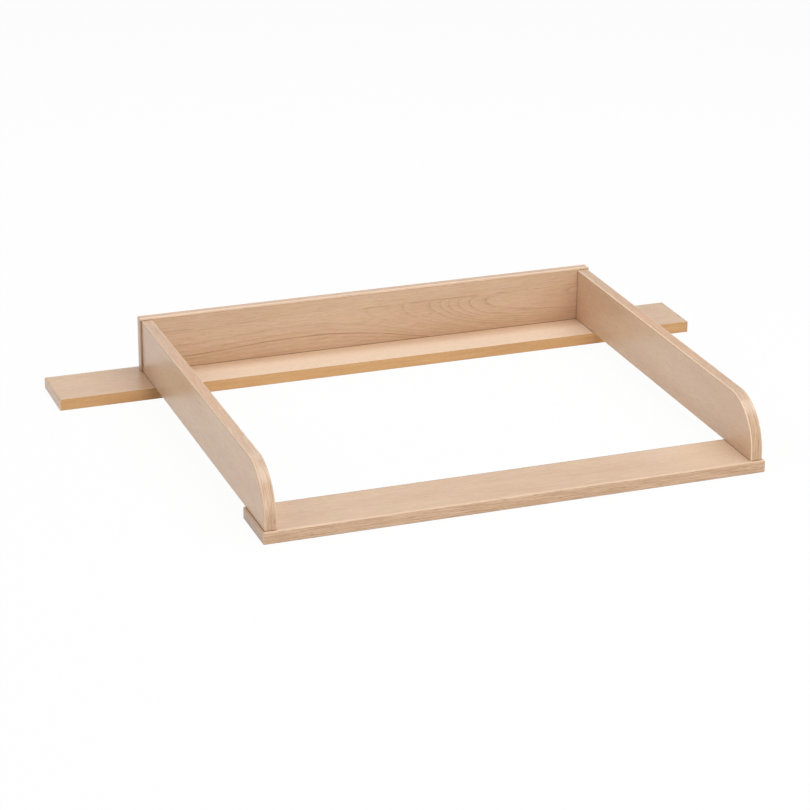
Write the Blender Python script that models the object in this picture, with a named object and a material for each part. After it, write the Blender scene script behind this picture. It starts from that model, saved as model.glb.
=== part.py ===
"""Changing table topper: a low frame of oak-look boards, open at the front, for a chest of drawers.

A front board and a long rear rail lie flat. Two side panels stand on both of them, and a back
panel stands on the rail behind the side panels. Screws from below and from behind hold the boards,
and dowels locate them. Plastic bands cover the edges that show.

Lengths are in metres. X runs along the width, Y from the front to the back and Z up. The origin
lies under the middle of the footprint, on the surface that carries the topper.
"""
import math
from collections import namedtuple

import bmesh
import bpy
from mathutils import Matrix

# Driving sizes of the boards
FRAME_WIDTH = 0.800            # over the outer faces of the side panels
BOARD_THICKNESS = 0.019        # all the boards are cut from one sheet
SIDE_PANEL_LENGTH = 0.672
BACK_PANEL_HEIGHT = 0.092
BACK_PANEL_REVEAL = 0.0025     # how far it stands proud of the side panels, on top and at its ends
CORNER_RADIUS = 0.080          # front top corner of a side panel
FRONT_BOARD_DEPTH = 0.100
FRONT_BOARD_REVEAL = 0.0035    # how far it reaches past the outer face of each side panel
FRONT_SETBACK = 0.005          # how far the side panels stand back from its front edge
RAIL_LENGTH = 1.120
RAIL_DEPTH = 0.105
RAIL_REAR_OVERHANG = 0.009     # how far it reaches behind the back panel

# Edge bands
BAND_THICKNESS = 0.002
ARRIS_RADIUS = 0.0016          # rounding of a band's free edges

# Connecting screws, 7 x 50 mm with a countersunk head and a hexagonal socket
SCREW_LENGTH = 0.050
HEAD_DIAMETER = 0.010
HEAD_RIM = 0.0005
HEAD_HEIGHT = 0.003
HEAD_RECESS = 0.0005           # how deep the head's top lies below the board's face
SOCKET_WIDTH = 0.004           # over the flats
SOCKET_DEPTH = 0.0025
SHANK_DIAMETER = 0.007
COLLAR_LENGTH = 0.012          # plain length under the head
CORE_DIAMETER = 0.0047
THREAD_PITCH = 0.003
THREAD_ROOT_SHARE = 0.25       # of the pitch, where a turn starts to rise
THREAD_CREST_SHARE = 0.75      # of the pitch, where it is widest
POINT_LENGTH = 0.004
POINT_DIAMETER = 0.0016

# Dowels, 8 x 30 mm
DOWEL_LENGTH = 0.030
DOWEL_DIAMETER = 0.008
DOWEL_CHAMFER = 0.001
DOWEL_DEPTH_IN_FACE = 0.011    # the rest of the dowel is in the other board's edge

# Clearances
JOINT_GAP = 0.0003             # between pieces that touch
BLIND_GAP = 0.0010             # past the end of a screw or dowel in its blind hole
OVERRUN = 0.0020               # of a drill past the face where it enters

# Places of the fasteners, as shares of the length of their joint
FRONT_SCREW_SHARES = {"front": 0.20, "rear": 0.80}
FRONT_DOWEL_SHARE = 0.50
RAIL_SCREW_SHARE = 0.25
RAIL_DOWEL_SHARE = 0.65
BACK_SCREW_SHARES = {"lower": 0.36, "upper": 0.78}
BACK_DOWEL_SHARE = 0.57
RAIL_BACK_SCREW_SHARES = {"left": 0.19, "middle": 0.50, "right": 0.81}
RAIL_BACK_DOWEL_SHARES = {"left": 0.345, "right": 0.655}

# Facets
CORNER_STEPS = 16
ARRIS_STEPS = 3
TURNED_STEPS = 12              # a multiple of six, so that the socket's corners are met
SMOOTH_ANGLE = math.radians(40)

# Sizes that follow from the driving ones
EDGE_BUILD_UP = BAND_THICKNESS + JOINT_GAP
FRONT_BOARD_LENGTH = FRAME_WIDTH + 2 * FRONT_BOARD_REVEAL
BACK_PANEL_LENGTH = FRAME_WIDTH + 2 * BACK_PANEL_REVEAL
SIDE_PANEL_HEIGHT = BACK_PANEL_HEIGHT - BACK_PANEL_REVEAL
SIDE_CORNER_RADIUS = min(CORNER_RADIUS, SIDE_PANEL_HEIGHT - EDGE_BUILD_UP)
FOOTPRINT_DEPTH = (FRONT_SETBACK + SIDE_PANEL_LENGTH + JOINT_GAP
                   + BOARD_THICKNESS + RAIL_REAR_OVERHANG)

# Places that follow from the sizes
SIDE_PANEL_X = (FRAME_WIDTH - BOARD_THICKNESS) / 2
FRONT_Y = -FOOTPRINT_DEPTH / 2
FRONT_BOARD_REAR_Y = FRONT_Y + FRONT_BOARD_DEPTH
SIDE_FRONT_Y = FRONT_Y + FRONT_SETBACK
SIDE_REAR_Y = SIDE_FRONT_Y + SIDE_PANEL_LENGTH
BACK_FACE_Y = SIDE_REAR_Y + JOINT_GAP
BACK_REAR_Y = BACK_FACE_Y + BOARD_THICKNESS
RAIL_REAR_Y = FOOTPRINT_DEPTH / 2
RAIL_FRONT_Y = RAIL_REAR_Y - RAIL_DEPTH
DECK_Z = BOARD_THICKNESS
STANDING_Z = DECK_Z + JOINT_GAP

SIDES = {"left": -1, "right": 1}
UPWARD = (0.0, 0.0, 0.0)
FORWARD = (math.pi / 2, 0.0, 0.0)

# Finishes: colour in sRGB, roughness, metallic
FINISHES = {
    "oak_foil_mdf": ((0.863, 0.749, 0.647), 0.55, 0.0),
    "oak_edge_band": ((0.820, 0.690, 0.575), 0.45, 0.0),
    "zinc_plated_steel": ((0.760, 0.770, 0.780), 0.35, 1.0),
    "beech": ((0.850, 0.720, 0.560), 0.65, 0.0),
}

Fastener = namedtuple("Fastener", "name shape place turn boards")


# Scene and materials

def clear_scene():
    for old in list(bpy.data.objects):
        bpy.data.objects.remove(old, do_unlink=True)


def linear(channel):
    """One sRGB channel as the linear value that a shader takes."""
    return channel / 12.92 if channel <= 0.04045 else ((channel + 0.055) / 1.055) ** 2.4


def make_material(name, colour, roughness, metallic):
    material = bpy.data.materials.new(name)
    material.use_nodes = True
    shader = material.node_tree.nodes["Principled BSDF"]
    shader.inputs["Base Color"].default_value = (*map(linear, colour), 1.0)
    shader.inputs["Roughness"].default_value = roughness
    shader.inputs["Metallic"].default_value = metallic
    return material


def add_object(name, mesh, parent, place=(0.0, 0.0, 0.0), turn=UPWARD, finish=None):
    """Turns a bmesh into a named object under the parent."""
    data = bpy.data.meshes.new(name)
    mesh.to_mesh(data)
    mesh.free()
    thing = bpy.data.objects.new(name, data)
    bpy.context.scene.collection.objects.link(thing)
    thing.parent = parent
    thing.location = place
    thing.rotation_euler = turn
    if finish:
        data.materials.append(finish)
    return thing


# Boards and edge bands

def centred_box(size):
    mesh = bmesh.new()
    bmesh.ops.create_cube(mesh, size=1)
    bmesh.ops.scale(mesh, vec=size, verts=mesh.verts)
    return mesh


def round_arrises(mesh, edges):
    bmesh.ops.bevel(mesh, geom=edges, offset=ARRIS_RADIUS, offset_type='OFFSET',
                    segments=ARRIS_STEPS, profile=0.5, affect='EDGES')


def band_box(size, mating_sides):
    """A box whose edges are rounded, except those that lie against another piece.

    A mating side is an axis and a sign, such as (1, -1) for the side that faces -Y.
    """
    mesh = centred_box(size)

    def mates(edge):
        return any(all(vertex.co[axis] * sign > 0 for vertex in edge.verts)
                   for axis, sign in mating_sides)

    round_arrises(mesh, [edge for edge in mesh.edges if not mates(edge)])
    return mesh


def side_outline(inset):
    """Points (y, z) over the top, round the corner and down the front of a side panel.

    They run from the rear top corner to the front foot, drawn in by inset from the outer edge,
    with y from the panel's middle and z from its foot.
    """
    rear = SIDE_PANEL_LENGTH / 2
    centre_y = SIDE_CORNER_RADIUS - rear
    centre_z = SIDE_PANEL_HEIGHT - SIDE_CORNER_RADIUS
    radius = SIDE_CORNER_RADIUS - inset
    points = [(rear, SIDE_PANEL_HEIGHT - inset)]
    for step in range(CORNER_STEPS + 1):
        angle = math.pi / 2 * (1 + step / CORNER_STEPS)
        points.append((centre_y + radius * math.cos(angle), centre_z + radius * math.sin(angle)))
    points.append((inset - rear, 0.0))
    return points


def slab(outline, thickness):
    """Extrudes a closed outline of (y, z) points along X, as far to the left as to the right."""
    mesh = bmesh.new()
    left = [mesh.verts.new((-thickness / 2, y, z)) for y, z in outline]
    right = [mesh.verts.new((thickness / 2, y, z)) for y, z in outline]
    mesh.faces.new(left)
    mesh.faces.new(right)
    for here in range(len(outline)):
        before = here - 1
        mesh.faces.new((left[before], left[here], right[here], right[before]))
    bmesh.ops.recalc_face_normals(mesh, faces=mesh.faces)
    return mesh, left, right


def side_panel_mesh():
    outline = side_outline(EDGE_BUILD_UP) + [(SIDE_PANEL_LENGTH / 2, 0.0)]
    return slab(outline, BOARD_THICKNESS)[0]


def side_band_mesh():
    """A strip bent over the top, the corner and the front, with both outer arrises rounded."""
    outer = side_outline(0.0)
    inner = side_outline(BAND_THICKNESS)
    mesh, left, right = slab(outer + inner[::-1], BOARD_THICKNESS)
    arrises = [mesh.edges.get((row[step], row[step + 1]))
               for row in (left, right) for step in range(len(outer) - 1)]
    round_arrises(mesh, arrises)
    return mesh


def add_front_board(parent, board_finish, band_finish):
    """The front board, banded all round: the long bands cover the ends of the short ones."""
    middle_y = FRONT_Y + FRONT_BOARD_DEPTH / 2
    core_length = FRONT_BOARD_LENGTH - 2 * EDGE_BUILD_UP
    core_depth = FRONT_BOARD_DEPTH - 2 * EDGE_BUILD_UP
    board = add_object("front_board", centred_box((core_length, core_depth, BOARD_THICKNESS)),
                       parent, (0.0, middle_y, BOARD_THICKNESS / 2), finish=board_finish)
    band_y = (FRONT_BOARD_DEPTH - BAND_THICKNESS) / 2
    for where, sign in (("front", -1), ("rear", 1)):
        mesh = band_box((FRONT_BOARD_LENGTH, BAND_THICKNESS, BOARD_THICKNESS), [(1, -sign)])
        add_object(f"front_board_band_{where}", mesh, parent,
                   (0.0, middle_y + sign * band_y, BOARD_THICKNESS / 2), finish=band_finish)
    band_x = (FRONT_BOARD_LENGTH - BAND_THICKNESS) / 2
    for side, sign in SIDES.items():
        mesh = band_box((BAND_THICKNESS, core_depth, BOARD_THICKNESS),
                        [(0, -sign), (1, -1), (1, 1)])
        add_object(f"front_board_band_{side}", mesh, parent,
                   (sign * band_x, middle_y, BOARD_THICKNESS / 2), finish=band_finish)
    return board


def add_rear_rail(parent, board_finish, band_finish):
    """The rear rail, banded at its two ends only: its long edges are bare."""
    middle_y = (RAIL_FRONT_Y + RAIL_REAR_Y) / 2
    core_length = RAIL_LENGTH - 2 * EDGE_BUILD_UP
    board = add_object("rear_rail", centred_box((core_length, RAIL_DEPTH, BOARD_THICKNESS)),
                       parent, (0.0, middle_y, BOARD_THICKNESS / 2), finish=board_finish)
    band_x = (RAIL_LENGTH - BAND_THICKNESS) / 2
    for side, sign in SIDES.items():
        mesh = band_box((BAND_THICKNESS, RAIL_DEPTH, BOARD_THICKNESS),
                        [(0, -sign), (1, -1), (1, 1)])
        add_object(f"rear_rail_band_{side}", mesh, parent,
                   (sign * band_x, middle_y, BOARD_THICKNESS / 2), finish=band_finish)
    return board


def add_back_panel(parent, board_finish, band_finish):
    """The back panel on edge, banded on top and at its ends: the top band covers the end bands."""
    middle_y = (BACK_FACE_Y + BACK_REAR_Y) / 2
    core_length = BACK_PANEL_LENGTH - 2 * EDGE_BUILD_UP
    core_height = BACK_PANEL_HEIGHT - EDGE_BUILD_UP
    core_z = STANDING_Z + core_height / 2
    board = add_object("back_panel", centred_box((core_length, BOARD_THICKNESS, core_height)),
                       parent, (0.0, middle_y, core_z), finish=board_finish)
    top_z = STANDING_Z + BACK_PANEL_HEIGHT - BAND_THICKNESS / 2
    mesh = band_box((BACK_PANEL_LENGTH, BOARD_THICKNESS, BAND_THICKNESS), [(2, -1)])
    add_object("back_panel_band_top", mesh, parent, (0.0, middle_y, top_z), finish=band_finish)
    band_x = (BACK_PANEL_LENGTH - BAND_THICKNESS) / 2
    for side, sign in SIDES.items():
        mesh = band_box((BAND_THICKNESS, BOARD_THICKNESS, core_height),
                        [(0, -sign), (2, -1), (2, 1)])
        add_object(f"back_panel_band_{side}", mesh, parent,
                   (sign * band_x, middle_y, core_z), finish=band_finish)
    return board


def add_side_panel(side, parent, board_finish, band_finish):
    """A side panel on edge and the one band that covers its top, corner and front."""
    place = (SIDES[side] * SIDE_PANEL_X, (SIDE_FRONT_Y + SIDE_REAR_Y) / 2, STANDING_Z)
    board = add_object(f"side_panel_{side}", side_panel_mesh(), parent, place,
                       finish=board_finish)
    add_object(f"side_panel_band_{side}", side_band_mesh(), parent, place, finish=band_finish)
    return board


# Screws and dowels, each turned about its own Z axis

def add_ring(mesh, place, height, radius, hexagonal=False):
    """A ring of vertices about Z. A hexagonal one has the radius from its axis to its flats."""
    ring = []
    for step in range(TURNED_STEPS):
        angle = 2 * math.pi * step / TURNED_STEPS
        reach = radius / math.cos(angle % (math.pi / 3) - math.pi / 6) if hexagonal else radius
        point = Matrix.Translation((reach * math.cos(angle), reach * math.sin(angle), height))
        ring.append(mesh.verts.new((place @ point).translation))
    return ring


def add_turned(mesh, rows, place=Matrix.Identity(4)):
    """A closed solid through rows of (height, radius) or (height, radius, hexagonal)."""
    rings = [add_ring(mesh, place, *row) for row in rows]
    for lower, upper in zip(rings, rings[1:]):
        for step in range(TURNED_STEPS):
            before = step - 1
            mesh.faces.new((lower[before], lower[step], upper[step], upper[before]))
    mesh.faces.new(reversed(rings[0]))
    mesh.faces.new(rings[-1])


def screw_rows():
    """The screw from the bottom of its socket over the head and the thread to its point.

    The thread is drawn as one ridge for each turn.
    """
    thread_start = HEAD_HEIGHT + COLLAR_LENGTH
    thread_end = SCREW_LENGTH - POINT_LENGTH
    rows = [(SOCKET_DEPTH, SOCKET_WIDTH / 2, True), (0.0, SOCKET_WIDTH / 2, True),
            (0.0, HEAD_DIAMETER / 2), (HEAD_RIM, HEAD_DIAMETER / 2),
            (HEAD_HEIGHT, SHANK_DIAMETER / 2), (thread_start, SHANK_DIAMETER / 2)]
    turns = max(1, round((thread_end - thread_start) / THREAD_PITCH))
    pitch = (thread_end - thread_start) / turns
    for turn in range(turns):
        root = thread_start + (turn + THREAD_ROOT_SHARE) * pitch
        crest = thread_start + (turn + THREAD_CREST_SHARE) * pitch
        rows += [(root, CORE_DIAMETER / 2), (crest, SHANK_DIAMETER / 2)]
    rows += [(thread_end, CORE_DIAMETER / 2), (SCREW_LENGTH, POINT_DIAMETER / 2)]
    return rows


def screw_drill_rows():
    """The countersunk hole that clears the screw on every side."""
    head = HEAD_DIAMETER / 2 + JOINT_GAP
    shank = SHANK_DIAMETER / 2 + JOINT_GAP
    return [(-HEAD_RECESS - OVERRUN, head), (HEAD_RIM, head), (HEAD_HEIGHT, shank),
            (SCREW_LENGTH + BLIND_GAP, shank)]


def dowel_rows():
    radius = DOWEL_DIAMETER / 2
    return [(0.0, radius - DOWEL_CHAMFER), (DOWEL_CHAMFER, radius),
            (DOWEL_LENGTH - DOWEL_CHAMFER, radius), (DOWEL_LENGTH, radius - DOWEL_CHAMFER)]


def dowel_drill_rows():
    radius = DOWEL_DIAMETER / 2 + JOINT_GAP
    return [(-BLIND_GAP, radius), (DOWEL_LENGTH + BLIND_GAP, radius)]


SHAPES = {"screw": (screw_rows, screw_drill_rows), "dowel": (dowel_rows, dowel_drill_rows)}


def between(start, end, share):
    return start + share * (end - start)


def side_panel_fasteners(side):
    """What holds a side panel to the front board, the rail and the back panel."""
    x = SIDES[side] * SIDE_PANEL_X
    panel = f"side_panel_{side}"
    dowel_z = DECK_Z - DOWEL_DEPTH_IN_FACE
    found = []
    for where, share in FRONT_SCREW_SHARES.items():
        y = between(SIDE_FRONT_Y, FRONT_BOARD_REAR_Y, share)
        found.append(Fastener(f"front_screw_{side}_{where}", "screw", (x, y, HEAD_RECESS),
                              UPWARD, ("front_board", panel)))
    y = between(SIDE_FRONT_Y, FRONT_BOARD_REAR_Y, FRONT_DOWEL_SHARE)
    found.append(Fastener(f"front_dowel_{side}", "dowel", (x, y, dowel_z),
                          UPWARD, ("front_board", panel)))
    y = between(RAIL_FRONT_Y, SIDE_REAR_Y, RAIL_SCREW_SHARE)
    found.append(Fastener(f"rail_screw_{side}", "screw", (x, y, HEAD_RECESS),
                          UPWARD, ("rear_rail", panel)))
    y = between(RAIL_FRONT_Y, SIDE_REAR_Y, RAIL_DOWEL_SHARE)
    found.append(Fastener(f"rail_dowel_{side}", "dowel", (x, y, dowel_z),
                          UPWARD, ("rear_rail", panel)))
    side_top_z = STANDING_Z + SIDE_PANEL_HEIGHT
    for where, share in BACK_SCREW_SHARES.items():
        z = between(STANDING_Z, side_top_z, share)
        found.append(Fastener(f"back_screw_{side}_{where}", "screw",
                              (x, BACK_REAR_Y - HEAD_RECESS, z),
                              FORWARD, ("back_panel", panel)))
    z = between(STANDING_Z, side_top_z, BACK_DOWEL_SHARE)
    found.append(Fastener(f"back_dowel_{side}", "dowel",
                          (x, BACK_FACE_Y + DOWEL_DEPTH_IN_FACE, z),
                          FORWARD, ("back_panel", panel)))
    return found


def back_panel_fasteners():
    """What holds the back panel down on the rail."""
    half = BACK_PANEL_LENGTH / 2
    y = (BACK_FACE_Y + BACK_REAR_Y) / 2
    boards = ("rear_rail", "back_panel")
    found = [Fastener(f"rail_back_screw_{where}", "screw",
                      (between(-half, half, share), y, HEAD_RECESS), UPWARD, boards)
             for where, share in RAIL_BACK_SCREW_SHARES.items()]
    found += [Fastener(f"rail_back_dowel_{where}", "dowel",
                       (between(-half, half, share), y, DECK_Z - DOWEL_DEPTH_IN_FACE),
                       UPWARD, boards)
              for where, share in RAIL_BACK_DOWEL_SHARES.items()]
    return found


def add_fastener(fastener, parent, finishes):
    mesh = bmesh.new()
    add_turned(mesh, SHAPES[fastener.shape][0]())
    thing = add_object(fastener.name, mesh, parent, fastener.place, fastener.turn,
                       finishes[fastener.shape])
    thing.data.shade_smooth()
    thing.data.set_sharp_from_angle(angle=SMOOTH_ANGLE)


def drill(board, fasteners, parent):
    """Cuts the holes of all the fasteners that pass into a board."""
    mesh = bmesh.new()
    for fastener in fasteners:
        place = (Matrix.Translation(fastener.place)
                 @ Matrix.Rotation(fastener.turn[0], 4, 'X'))
        add_turned(mesh, SHAPES[fastener.shape][1](), place)
    cutter = add_object(f"{board.name}_drill", mesh, parent)
    cutter.hide_render = True
    cutter.display_type = 'WIRE'
    cut = board.modifiers.new("holes", 'BOOLEAN')
    cut.operation = 'DIFFERENCE'
    cut.solver = 'EXACT'
    cut.object = cutter


def build():
    clear_scene()
    finishes = {name: make_material(name, *values) for name, values in FINISHES.items()}
    frame = bpy.data.objects.new("topper", None)
    bpy.context.scene.collection.objects.link(frame)
    foil = finishes["oak_foil_mdf"]
    band = finishes["oak_edge_band"]
    boards = [add_front_board(frame, foil, band), add_rear_rail(frame, foil, band),
              add_back_panel(frame, foil, band)]
    boards += [add_side_panel(side, frame, foil, band) for side in SIDES]
    fasteners = [fastener for side in SIDES for fastener in side_panel_fasteners(side)]
    fasteners += back_panel_fasteners()
    fastener_finishes = {"screw": finishes["zinc_plated_steel"], "dowel": finishes["beech"]}
    for fastener in fasteners:
        add_fastener(fastener, frame, fastener_finishes)
    for board in boards:
        drill(board, [each for each in fasteners if board.name in each.boards], frame)


build()
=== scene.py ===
# %% [markdown]
# # A changing table topper in a photo studio
#
# The topper is a low frame of oak-look boards, open at the front. It lies on a chest of drawers
# and keeps a changing mat from sliding off. Its solids come ready made: every board, edge band,
# screw and dowel is already in its place. This script dresses them. Each solid gets a finer mesh
# on top of it and a finish that starts from what the real material is.
#
# Lengths are in metres, and MM turns a size in millimetres into one. X runs along the width,
# Y from the open front to the back panel, and Z up. The boards lie on the floor at Z = 0.

# %% Load the solids
import math

import bmesh
import bpy
from mathutils import Matrix, Vector


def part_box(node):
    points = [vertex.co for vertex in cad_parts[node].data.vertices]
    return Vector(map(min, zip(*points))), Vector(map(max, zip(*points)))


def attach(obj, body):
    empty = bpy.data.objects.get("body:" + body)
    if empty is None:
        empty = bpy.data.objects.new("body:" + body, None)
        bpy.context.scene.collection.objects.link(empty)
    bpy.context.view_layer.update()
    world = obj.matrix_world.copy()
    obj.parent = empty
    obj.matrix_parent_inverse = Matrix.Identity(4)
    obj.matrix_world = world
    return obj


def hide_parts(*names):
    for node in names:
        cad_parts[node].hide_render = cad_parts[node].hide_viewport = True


MM = 0.001

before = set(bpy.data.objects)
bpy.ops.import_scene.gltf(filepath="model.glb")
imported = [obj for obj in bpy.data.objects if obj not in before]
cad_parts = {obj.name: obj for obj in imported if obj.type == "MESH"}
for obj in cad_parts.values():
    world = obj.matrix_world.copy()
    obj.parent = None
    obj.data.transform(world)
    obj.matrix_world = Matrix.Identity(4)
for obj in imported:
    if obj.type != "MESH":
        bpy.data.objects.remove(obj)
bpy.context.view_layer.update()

# %% [markdown]
# ## A few helpers
#
# A colour is easiest to name as a screen colour, such as E0C0A4, but a shader reckons in amounts
# of light. One function turns the one into the other, so that every colour below can be written
# the way a colour picker shows it.
#
# A finish is a tree of nodes. They could be placed by hand, but a script can be read and changed.
# One function adds any node with its settings and links. What goes into a node is given by the
# inputs' names or numbers, or simply in their order.

# %% Colours and nodes
def linear_colour(code):
    """A screen colour in hexadecimal as the four linear values that a shader takes."""
    channels = [int(code[at:at + 2], 16) / 255 for at in (0, 2, 4)]
    return [c / 12.92 if c <= 0.04045 else ((c + 0.055) / 1.055) ** 2.4 for c in channels] + [1.0]


def fill_inputs(tree, node, inputs):
    """An input takes a plain value, another node's first output, or any output."""
    for socket, value in inputs.items() if isinstance(inputs, dict) else enumerate(inputs):
        if isinstance(value, bpy.types.Node):
            value = value.outputs[0]
        if isinstance(value, bpy.types.NodeSocket):
            tree.links.new(value, node.inputs[socket])
        else:
            node.inputs[socket].default_value = value


def add_node(tree, kind, inputs=(), **settings):
    """Adds a node with its settings, and fills its inputs."""
    node = tree.nodes.new("ShaderNode" + kind)
    for setting, value in settings.items():
        setattr(node, setting, value)
    fill_inputs(tree, node, inputs)
    return node


def new_finish(name):
    """Adds a material, and returns it with its tree of nodes."""
    finish = bpy.data.materials.new(name)
    finish.use_nodes = True
    return finish, finish.node_tree


print("linear value of the foil's colour:", [round(c, 3) for c in linear_colour("E0C0A4")])

# %% [markdown]
# ## The camera
#
# The photo was taken with a long lens from the front left and above, so that parallel edges stay
# almost parallel. The camera's place, its three turns and its lens were worked out from where the
# ends of the boards lie in the picture, and they are set as numbers. Aiming the camera at a point
# would be simpler, but then the small tilt of the horizon would be lost.

# %% Place the camera
PICTURE_PIXELS = 810
FOCAL_PIXELS = 2716.78
SENSOR_WIDTH = 36.0            # in mm of film
CAMERA_PLACE = (-1.44672, -3.76037, 1.65606)
TURN_RIGHT = 0.3540            # angles in radians
LOOK_DOWN = 0.3836
TILT = 0.0071

camera_data = bpy.data.cameras.new("studio_camera")
camera_data.sensor_width = SENSOR_WIDTH
camera_data.lens = FOCAL_PIXELS * SENSOR_WIDTH / PICTURE_PIXELS
camera = bpy.data.objects.new("studio_camera", camera_data)
camera.matrix_world = (Matrix.Translation(CAMERA_PLACE) @ Matrix.Rotation(-TURN_RIGHT, 4, 'Z')
                       @ Matrix.Rotation(math.pi / 2 - LOOK_DOWN, 4, 'X')
                       @ Matrix.Rotation(TILT, 4, 'Z'))
bpy.context.scene.collection.objects.link(camera)
bpy.context.scene.camera = camera
print("lens:", round(camera_data.lens, 1), "mm")

# %% [markdown]
# ## The white floor and the white room
#
# The picture has a plain white background. More light would whiten the floor too, but it would
# also bleach the boards. So the floor and the room look white only to the camera, and to the
# mirror images in glossy surfaces, and light the boards at a plain level. A part of the floor's
# look still comes from the light that reaches it, which keeps a pale shadow under the boards.

# %% Make the floor and the room
FLOOR_SIZE = 40.0
FLOOR_DROP = 0.1 * MM          # keeps the floor just clear of the undersides
FLOOR_GLOW = 0.95              # share of the floor's look that doesn't depend on the light
FLOOR_PAINT = "FAFAFA"
ROOM_LIGHT = 0.25


def seen_directly(tree):
    """1 for rays from the camera and for mirror images of them, and 0 for the light's own paths."""
    path = add_node(tree, "LightPath")
    seen = add_node(tree, "Math", (path.outputs["Is Camera Ray"], path.outputs["Is Glossy Ray"]),
                    operation='MAXIMUM')
    return add_node(tree, "Math", (seen, path.outputs["Is Transmission Ray"]),
                    operation='MAXIMUM')


floor_paint, tree = new_finish("white_floor_paint")
tree.nodes.clear()
share = add_node(tree, "Math", (seen_directly(tree), FLOOR_GLOW), operation='MULTIPLY')
paint = add_node(tree, "BsdfDiffuse", {"Color": linear_colour(FLOOR_PAINT)})
glow = add_node(tree, "Emission", {"Color": (1, 1, 1, 1), "Strength": 1.0})
mixed = add_node(tree, "MixShader", (share, paint, glow))
add_node(tree, "OutputMaterial", {"Surface": mixed})

floor_mesh = bmesh.new()
bmesh.ops.create_grid(floor_mesh, x_segments=1, y_segments=1, size=FLOOR_SIZE / 2)
floor_data = bpy.data.meshes.new("studio_floor")
floor_mesh.to_mesh(floor_data)
floor_mesh.free()
floor_data.materials.append(floor_paint)
floor = bpy.data.objects.new("studio_floor", floor_data)
floor.location.z = -FLOOR_DROP
bpy.context.scene.collection.objects.link(floor)

room = bpy.data.worlds.new("white_room")
room.use_nodes = True
tree = room.node_tree
tree.nodes.clear()
strength = add_node(tree, "MapRange", (seen_directly(tree), 0.0, 1.0, ROOM_LIGHT, 1.0))
background = add_node(tree, "Background", {"Color": (1, 1, 1, 1), "Strength": strength})
add_node(tree, "OutputWorld", {"Surface": background})
bpy.context.scene.world = room
bpy.context.scene.view_settings.view_transform = 'Standard'
print("floor:", FLOOR_SIZE, "m wide; room light:", ROOM_LIGHT)

# %% [markdown]
# ## The lamps
#
# A product photographer lights a pale object with large, soft boxes, so that no shadow has a hard
# edge. A soft box is an area lamp. The level of each lamp is given as what it adds to a sheet of
# white paper that lies at the topper and faces the lamp: 1 would show the paper just white. The
# power in watts follows from this level and from the distance.

# %% Set up the soft boxes
AIM = Vector((0.0, 0.0, 0.05))
SOFT_BOXES = {
    # name: (place, width, height, level)
    "overhead_box": ((0.3, -0.60, 3.25), 1.6, 2.0, 0.25),
    "right_box": ((1.70, -0.40, 2.93), 1.6, 2.0, 0.30),
    "left_box": ((-2.66, 0.0, 2.12), 1.8, 1.8, 0.22),
    "front_box": ((0.0, -3.21, 1.12), 2.8, 2.1, 0.345),
    "rear_box": ((0.0, 2.40, 2.40), 1.8, 1.8, 0.10),
}

for name, (place, width, height, level) in SOFT_BOXES.items():
    lamp = bpy.data.lights.new(name, 'AREA')
    lamp.shape = 'RECTANGLE'
    lamp.size = width
    lamp.size_y = height
    away = AIM - Vector(place)
    lamp.energy = level * math.pi ** 2 * away.length_squared
    box = bpy.data.objects.new(name, lamp)
    box.location = place
    box.rotation_euler = away.to_track_quat('-Z', 'Y').to_euler()
    bpy.context.scene.collection.objects.link(box)
    print(name, "at", round(away.length, 2), "m gives", round(lamp.energy), "W")

# %% [markdown]
# ## Streaks along the grain
#
# Nearly all that wood shows runs along its grain: fibres, pores, flecks and patches of another
# tone. They could be painted one by one. Here each kind is a cloudy noise, stretched along the
# grain until its marks are as long and as wide as the real ones. Each kind lies in a layer of its
# own, so that no two of them coincide.
#
# Every mesh below carries a UV map named grain, which says how far a point lies along the grain
# and across it. Fibres in a trunk wander a little, so the place across the grain is bent by two
# waves, a slow one and a quick one.

# %% Streaks and the wandering grain
SLOW_WAVE = (230, 90, 11.3, 1.0)       # length and width in mm, layer and detail
QUICK_WAVE = (38, 16, 4.7, 1.0)


def grain_place(tree, shift=(0.0, 0.0)):
    """The place on the print in mm. shift moves a board to another part of the print."""
    return add_node(tree, "VectorMath", (add_node(tree, "UVMap", uv_map="grain"),
                                         (1 / MM, 1 / MM, 0.0), (*shift, 0.0)),
                    operation='MULTIPLY_ADD')


def streaks(tree, place, length, width, layer, detail=2.0):
    """Soft streaks, each about length by width in mm, as values about 0.5."""
    stretched = add_node(tree, "VectorMath", (place, (1 / length, 1 / width, 0.0),
                                              (0.0, 0.0, layer)), operation='MULTIPLY_ADD')
    return add_node(tree, "TexNoise", {"Vector": stretched, "Scale": 1.0, "Detail": detail})


def marks(tree, place, size, start, full, most=1.0, least=0.0):
    """Streaks as shares: least up to the value start, and most from the value full on."""
    return add_node(tree, "MapRange", (streaks(tree, place, *size), start, full, least, most))


def bent_grain(tree, place, slow_bend, quick_bend):
    """How far the place lies along and across the wandering fibres, in mm."""
    parts = add_node(tree, "SeparateXYZ", (place,))
    across = parts.outputs["Y"]
    for amount, wave in ((slow_bend, SLOW_WAVE), (quick_bend, QUICK_WAVE)):
        centred = add_node(tree, "Math", (streaks(tree, place, *wave), 0.5), operation='SUBTRACT')
        across = add_node(tree, "Math", (centred, 2 * amount, across), operation='MULTIPLY_ADD')
    return parts.outputs["X"], across


print("the slow wave is", SLOW_WAVE[0], "mm long, the quick one", QUICK_WAVE[0], "mm")
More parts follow.
